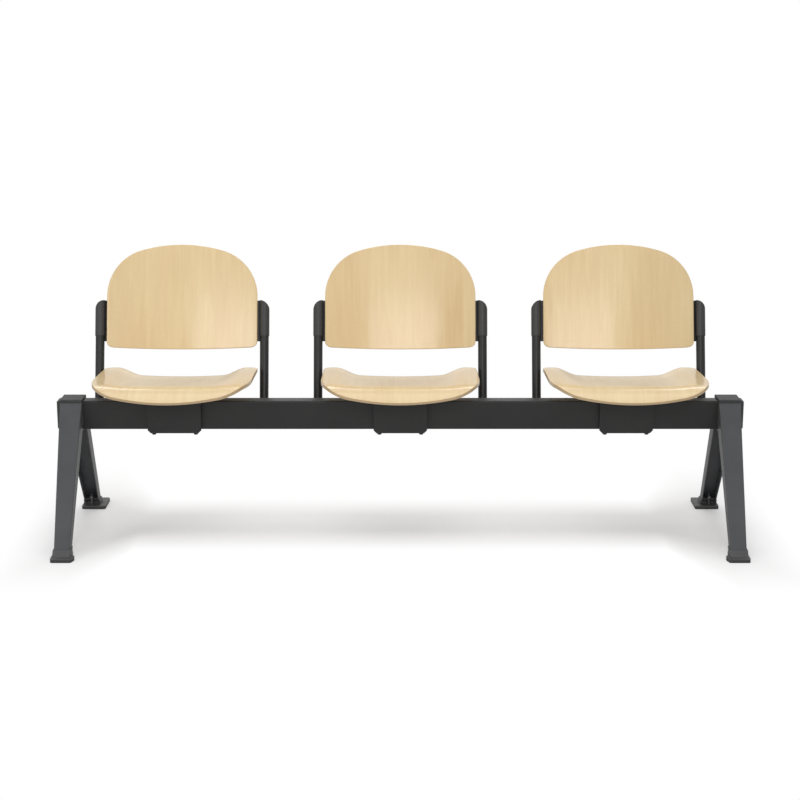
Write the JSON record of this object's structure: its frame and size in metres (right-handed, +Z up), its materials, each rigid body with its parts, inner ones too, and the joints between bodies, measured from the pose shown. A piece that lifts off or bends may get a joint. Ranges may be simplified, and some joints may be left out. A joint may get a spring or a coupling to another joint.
{
  "type": "reception bench",
  "caption": "Waiting-room beam bench with moulded plywood seats and arched plywood backs on a steel beam, A-shaped channel legs and moulded feet.",
  "frame": {"origin": "on the floor, below the middle of the beam", "axes": "+X along the bench to the sitter's left, -Y to the front, +Z up"},
  "size_m": [1.876, 0.564, 0.7667],
  "materials": {
    "plywood": "satin lacquered beech veneer",
    "beam_paint": "satin black powder coat",
    "leg_paint": "satin dark grey powder coat",
    "black_plastic": "matt moulded",
    "foot_plastic": "matt moulded",
    "black_steel": "black coated bolts",
    "zinc_steel": "zinc plated"
  },
  "bodies": {
    "root": {"beam": "beam_paint", "beam_end_cap_left": "black_plastic", "front_leg_left": "leg_paint", "rear_leg_left": "leg_paint", "saddle_left": "leg_paint", "leg_tie_plate_left": "leg_paint", "front_foot_left": "foot_plastic", "rear_foot_left": "foot_plastic", "leg_tie_bolts_left": "black_steel", "foot_studs_left": "zinc_steel", "beam_end_cap_right": "black_plastic", "front_leg_right": "leg_paint", "rear_leg_right": "leg_paint", "saddle_right": "leg_paint", "leg_tie_plate_right": "leg_paint", "front_foot_right": "foot_plastic", "rear_foot_right": "foot_plastic", "leg_tie_bolts_right": "black_steel", "foot_studs_right": "zinc_steel", "seat_panel_left": "plywood", "back_panel_left": "plywood", "seat_carrier_left": "beam_paint", "beam_bracket_left": "beam_paint", "clamp_plate_left": "beam_paint", "back_frame_left": "beam_paint", "sleeve_left_left": "black_plastic", "sleeve_right_left": "black_plastic", "clamp_bolts_left": "black_steel", "clamp_nuts_left": "black_steel", "seat_screws_left": "zinc_steel", "back_screws_left": "zinc_steel", "seat_panel_centre": "plywood", "back_panel_centre": "plywood", "seat_carrier_centre": "beam_paint", "beam_bracket_centre": "beam_paint", "clamp_plate_centre": "beam_paint", "back_frame_centre": "beam_paint", "sleeve_left_centre": "black_plastic", "sleeve_right_centre": "black_plastic", "clamp_bolts_centre": "black_steel", "clamp_nuts_centre": "black_steel", "seat_screws_centre": "zinc_steel", "back_screws_centre": "zinc_steel", "seat_panel_right": "plywood", "back_panel_right": "plywood", "seat_carrier_right": "beam_paint", "beam_bracket_right": "beam_paint", "clamp_plate_right": "beam_paint", "back_frame_right": "beam_paint", "sleeve_left_right": "black_plastic", "sleeve_right_right": "black_plastic", "clamp_bolts_right": "black_steel", "clamp_nuts_right": "black_steel", "seat_screws_right": "zinc_steel", "back_screws_right": "zinc_steel"}
  },
  "joints": []
}
